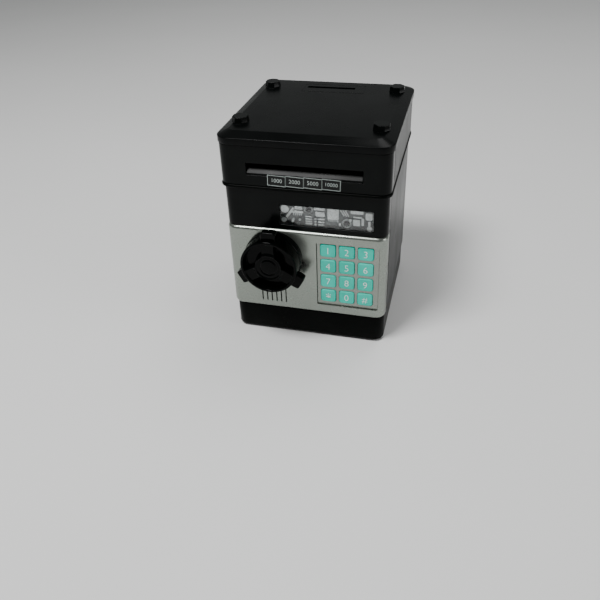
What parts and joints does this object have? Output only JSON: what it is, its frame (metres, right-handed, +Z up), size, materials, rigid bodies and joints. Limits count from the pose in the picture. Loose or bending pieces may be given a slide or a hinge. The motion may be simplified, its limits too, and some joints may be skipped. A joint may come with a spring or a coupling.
{
  "type": "toy cash machine savings bank",
  "caption": "Upright toy cash machine money box: hinged silver door with keypad and three-lobed lock knob, banknote slot with feed rollers, coin slot in the lid.",
  "frame": {"origin": "under the middle of the overall box, on the surface that the feet stand on", "axes": "+Z up, +X to the right seen from the front, the door and knob face -Y"},
  "size_m": [0.13, 0.1544, 0.1778],
  "materials": {
    "gloss_black": "mirror-gloss black styrene",
    "satin_black": "satin black styrene",
    "chute": "smooth dark grey plastic",
    "silver": "satin silver paint on plastic",
    "key": "soft teal plastic with pale numerals",
    "knob": "glossy black plastic",
    "steel": "plain steel",
    "rubber": "dull black rubber",
    "grey_plastic": "grey acetal",
    "lens": "clear polystyrene window",
    "circuit": "silver-grey plate in low relief",
    "led": "clear lamp",
    "board": "green laminate",
    "speaker": "dark pressed frame and paper cone",
    "cell": "printed sleeve",
    "coil": "copper coil in a frame"
  },
  "bodies": {
    "housing": {"base_tray": "gloss_black", "battery_box": "satin_black", "battery_cell_1": "cell", "battery_cell_2": "cell", "battery_cell_3": "cell", "battery_cover": "gloss_black", "battery_cover_screw": "steel", "foot_front_left": "rubber", "foot_back_left": "rubber", "foot_front_right": "rubber", "foot_back_right": "rubber", "vault_floor": "satin_black", "lower_rear_shell": "gloss_black", "window_fascia": "gloss_black", "window_lens": "lens", "circuit_plate": "circuit", "led_left": "led", "led_right": "led", "waist_frame": "gloss_black", "upper_rear_shell": "gloss_black", "upper_fascia": "gloss_black", "bill_chute": "chute", "lid": "satin_black", "roller_bracket": "grey_plastic", "motor": "steel", "drive_belt": "rubber"},
    "door": {"door_panel": "silver", "hinge_pin_lower": "steel", "hinge_pin_upper": "steel", "door_inner_cover": "satin_black", "keypad_plate": "silver", "keypad_mat": "rubber", "keypad_board": "board", "speaker": "speaker", "knob_drum": "knob", "lock_solenoid": "coil"},
    "knob": {"knob_wheel": "knob", "knob_spindle": "grey_plastic", "lock_tongue": "grey_plastic"},
    "plunger": {"lock_plunger": "steel"},
    "feed_roller": {"feed_shaft": "steel", "feed_roller_left": "rubber", "feed_roller_right": "rubber", "feed_pulley": "grey_plastic"},
    "pinch_roller": {"pinch_shaft": "steel", "pinch_roller": "rubber"},
    "motor_shaft": {"motor_pulley": "steel"},
    "key_1": {"key_1": "key"},
    "key_2": {"key_2": "key"},
    "key_3": {"key_3": "key"},
    "key_4": {"key_4": "key"},
    "key_5": {"key_5": "key"},
    "key_6": {"key_6": "key"},
    "key_7": {"key_7": "key"},
    "key_8": {"key_8": "key"},
    "key_9": {"key_9": "key"},
    "key_star": {"key_star": "key"},
    "key_0": {"key_0": "key"},
    "key_hash": {"key_hash": "key"}
  },
  "joints": [
    {"name": "door_hinge", "type": "hinge", "parent": "housing", "child": "door", "pos_m": [0.0584, -0.04735, 0.06], "axis": [0, 0, 1], "range_deg": [0, 90]},
    {"name": "knob_turn", "type": "hinge", "parent": "door", "child": "knob", "pos_m": [-0.02485, -0.06175, 0.0745], "axis": [0, 1, 0], "range_deg": [0, 90]},
    {"name": "plunger_slide", "type": "slide", "parent": "door", "child": "plunger", "axis": [-1, 0, 0], "range_m": [0, 0.003]},
    {"name": "feed_spin", "type": "hinge", "parent": "housing", "child": "feed_roller", "pos_m": [0, -0.04075, 0.1433], "axis": [1, 0, 0], "continuous": true},
    {"name": "pinch_spin", "type": "hinge", "parent": "housing", "child": "pinch_roller", "pos_m": [0, -0.04075, 0.1536], "axis": [1, 0, 0], "continuous": true},
    {"name": "motor_spin", "type": "hinge", "parent": "housing", "child": "motor_shaft", "pos_m": [-0.048, -0.01475, 0.1483], "axis": [1, 0, 0], "continuous": true},
    {"name": "press_1", "type": "slide", "parent": "door", "child": "key_1", "axis": [0, 1, 0], "range_m": [0, 0.0012], "stiffness_N_per_m": 300},
    {"name": "press_2", "type": "slide", "parent": "door", "child": "key_2", "axis": [0, 1, 0], "range_m": [0, 0.0012], "stiffness_N_per_m": 300},
    {"name": "press_3", "type": "slide", "parent": "door", "child": "key_3", "axis": [0, 1, 0], "range_m": [0, 0.0012], "stiffness_N_per_m": 300},
    {"name": "press_4", "type": "slide", "parent": "door", "child": "key_4", "axis": [0, 1, 0], "range_m": [0, 0.0012], "stiffness_N_per_m": 300},
    {"name": "press_5", "type": "slide", "parent": "door", "child": "key_5", "axis": [0, 1, 0], "range_m": [0, 0.0012], "stiffness_N_per_m": 300},
    {"name": "press_6", "type": "slide", "parent": "door", "child": "key_6", "axis": [0, 1, 0], "range_m": [0, 0.0012], "stiffness_N_per_m": 300},
    {"name": "press_7", "type": "slide", "parent": "door", "child": "key_7", "axis": [0, 1, 0], "range_m": [0, 0.0012], "stiffness_N_per_m": 300},
    {"name": "press_8", "type": "slide", "parent": "door", "child": "key_8", "axis": [0, 1, 0], "range_m": [0, 0.0012], "stiffness_N_per_m": 300},
    {"name": "press_9", "type": "slide", "parent": "door", "child": "key_9", "axis": [0, 1, 0], "range_m": [0, 0.0012], "stiffness_N_per_m": 300},
    {"name": "press_star", "type": "slide", "parent": "door", "child": "key_star", "axis": [0, 1, 0], "range_m": [0, 0.0012], "stiffness_N_per_m": 300},
    {"name": "press_0", "type": "slide", "parent": "door", "child": "key_0", "axis": [0, 1, 0], "range_m": [0, 0.0012], "stiffness_N_per_m": 300},
    {"name": "press_hash", "type": "slide", "parent": "door", "child": "key_hash", "axis": [0, 1, 0], "range_m": [0, 0.0012], "stiffness_N_per_m": 300}
  ],
  "couplings": [
    {"joint": "pinch_spin", "follows": "feed_spin", "ratio": -1.5},
    {"joint": "motor_spin", "follows": "feed_spin", "ratio": 2.3333}
  ]
}
